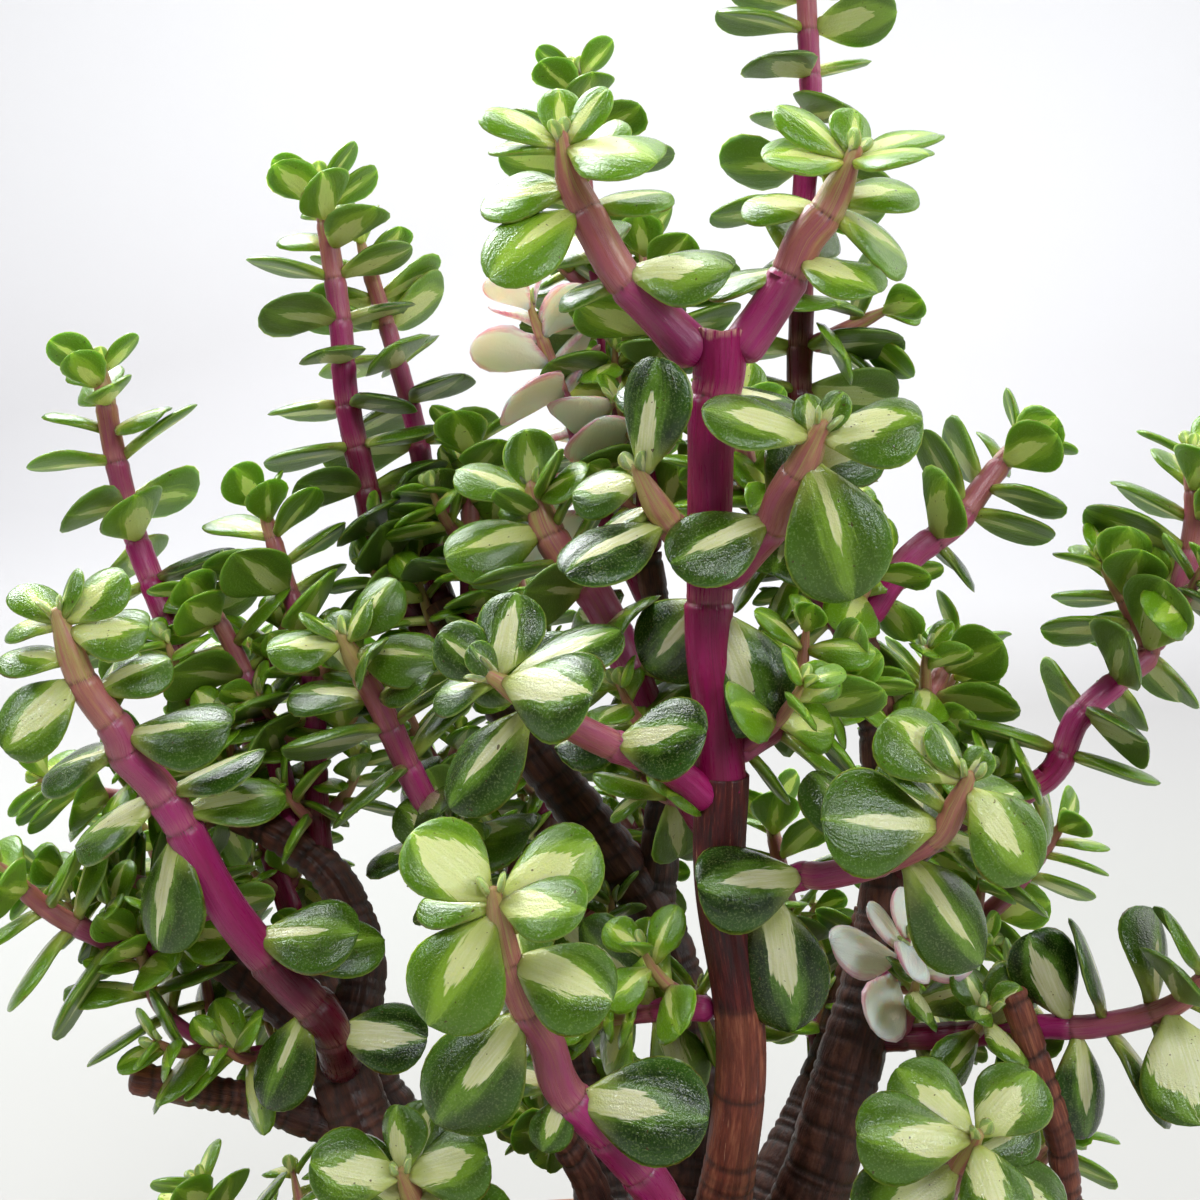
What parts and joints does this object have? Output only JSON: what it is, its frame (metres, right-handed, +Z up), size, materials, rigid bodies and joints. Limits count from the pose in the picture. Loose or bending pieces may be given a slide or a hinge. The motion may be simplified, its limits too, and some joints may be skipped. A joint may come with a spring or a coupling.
{
  "type": "potted succulent bonsai",
  "caption": "Rainbow elephant bush bonsai: a many-stemmed variegated succulent with magenta stems and thick round leaves, in a plain round pot with soil.",
  "frame": {"origin": "middle of the whole plant's footprint, on the surface that the pot stands on", "axes": "+Z up, -Y towards the viewer of the picture, +X to the viewer's right"},
  "size_m": [0.211, 0.1702, 0.3052],
  "materials": {
    "foliage": "satin",
    "young_stem": "satin",
    "wood": "matte",
    "pot": "matte",
    "soil": "matte",
    "screen": "matte"
  },
  "bodies": {
    "root": {"main_stem": "young_stem", "left_fork_shoot": "foliage", "right_fork_shoot": "foliage", "upper_left_shoot": "foliage", "upper_right_shoot": "foliage", "middle_left_shoot": "foliage", "middle_right_shoot": "foliage", "front_shoot": "foliage", "left_shoot": "foliage", "middle_left_rear_shoot": "foliage", "centre_left_shoot": "foliage", "low_left_shoot": "foliage", "small_right_shoot": "foliage", "tall_right_rear_shoot": "foliage", "tall_right_rear_side_shoot": "foliage", "tall_left_rear_shoot": "foliage", "tall_left_far_shoot": "foliage", "far_left_shoot": "foliage", "small_left_rear_shoot": "foliage", "far_left_low_shoot": "foliage", "far_left_side_shoot": "foliage", "left_edge_shoot": "foliage", "thin_left_shoot": "foliage", "left_mass_shoot": "foliage", "middle_mass_shoot": "foliage", "centre_rear_shoot": "foliage", "pink_shoot": "foliage", "top_rear_shoot": "foliage", "behind_main_shoot": "foliage", "upper_right_far_shoot": "foliage", "right_shoot": "foliage", "far_right_shoot": "foliage", "right_mass_shoot": "foliage", "low_right_shoot": "foliage", "white_pink_shoot": "foliage", "bottom_right_shoot": "foliage", "bottom_left_shoot": "foliage", "small_bottom_left_shoot": "foliage", "low_front_right_shoot": "foliage", "low_front_left_shoot": "foliage", "low_right_side_shoot": "foliage", "rear_top_shoot": "foliage", "rear_middle_shoot": "foliage", "rear_left_shoot": "foliage", "rear_low_shoot": "foliage", "right_rear_top_shoot": "foliage", "right_rear_side_shoot": "foliage", "right_rear_low_shoot": "foliage", "left_rear_top_shoot": "foliage", "left_rear_side_shoot": "foliage", "wood": "wood", "pot": "pot", "drain_mesh": "screen", "soil": "soil"}
  },
  "joints": []
}
